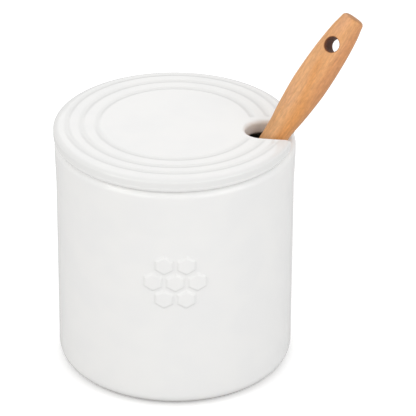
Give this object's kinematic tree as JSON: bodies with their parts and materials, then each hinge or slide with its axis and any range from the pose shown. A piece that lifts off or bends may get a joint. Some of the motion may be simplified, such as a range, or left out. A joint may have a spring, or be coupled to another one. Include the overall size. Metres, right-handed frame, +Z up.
{
  "type": "lidded honey pot with dipper",
  "caption": "Straight round stoneware honey pot with a loose notched lid and a wooden-handled dipper leaning out of the notch.",
  "frame": {"origin": "centre of the foot ring's plane, where the pot's axis meets the table", "axes": "+Z up along the pot's axis; -Y towards the raised honeycomb on the front; the lid's notch opens towards +X"},
  "size_m": [0.1274, 0.1004, 0.1545],
  "materials": {
    "white_glaze": "gloss",
    "beech": "satin",
    "silicone": "matte",
    "core": "matte"
  },
  "bodies": {
    "pot": {"pot_body": "white_glaze"},
    "lid": {"lid": "white_glaze"},
    "dipper": {"dipper_handle": "beech", "dipper_head": "silicone", "dipper_core": "core"}
  },
  "joints": [
    {"name": "lid_lift", "type": "slide", "parent": "pot", "child": "lid", "axis": [0, 0, 1], "range_m": [0, 0.12]},
    {"name": "dipper_lift", "type": "slide", "parent": "lid", "child": "dipper", "axis": [0.5425, 0.2007, 0.8157], "range_m": [0, 0.055]}
  ]
}
